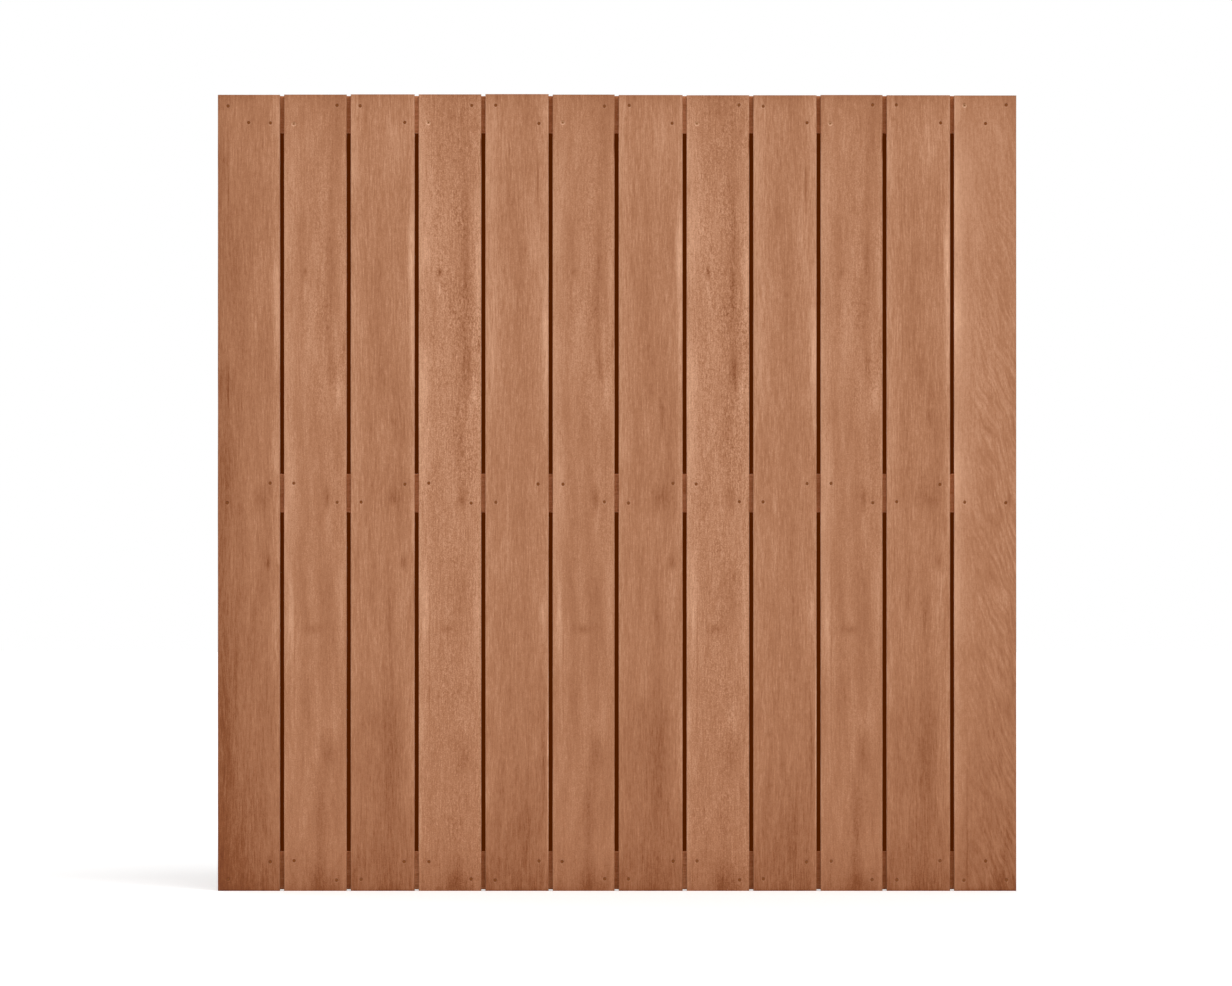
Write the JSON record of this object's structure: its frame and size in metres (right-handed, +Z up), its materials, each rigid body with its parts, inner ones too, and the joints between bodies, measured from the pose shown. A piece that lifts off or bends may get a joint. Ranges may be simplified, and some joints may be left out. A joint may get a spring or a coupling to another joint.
{
  "type": "fence panel",
  "caption": "Flat garden fence panel of upright hardwood planks with narrow gaps, nailed from the front to horizontal rails behind.",
  "frame": {"origin": "middle of the bottom edge: halfway along the panel and halfway through its thickness, at the planks' lower ends", "axes": "+X along the panel, to the right as seen from the planks' side; +Y from the planks' side to the rails' side; +Z up"},
  "size_m": [1.7992, 0.035, 1.7955],
  "materials": {
    "hardwood_plank": "planed and unvarnished, pinkish brown, matt",
    "hardwood_rail": "planed and unvarnished, darker brown, matt",
    "nail_steel": "dull stainless steel"
  },
  "bodies": {
    "root": {"plank_01": "hardwood_plank", "plank_02": "hardwood_plank", "plank_03": "hardwood_plank", "plank_04": "hardwood_plank", "plank_05": "hardwood_plank", "plank_06": "hardwood_plank", "plank_07": "hardwood_plank", "plank_08": "hardwood_plank", "plank_09": "hardwood_plank", "plank_10": "hardwood_plank", "plank_11": "hardwood_plank", "plank_12": "hardwood_plank", "top_rail": "hardwood_rail", "middle_rail": "hardwood_rail", "bottom_rail": "hardwood_rail", "plank_01_nails": "nail_steel", "plank_02_nails": "nail_steel", "plank_03_nails": "nail_steel", "plank_04_nails": "nail_steel", "plank_05_nails": "nail_steel", "plank_06_nails": "nail_steel", "plank_07_nails": "nail_steel", "plank_08_nails": "nail_steel", "plank_09_nails": "nail_steel", "plank_10_nails": "nail_steel", "plank_11_nails": "nail_steel", "plank_12_nails": "nail_steel"}
  },
  "joints": []
}
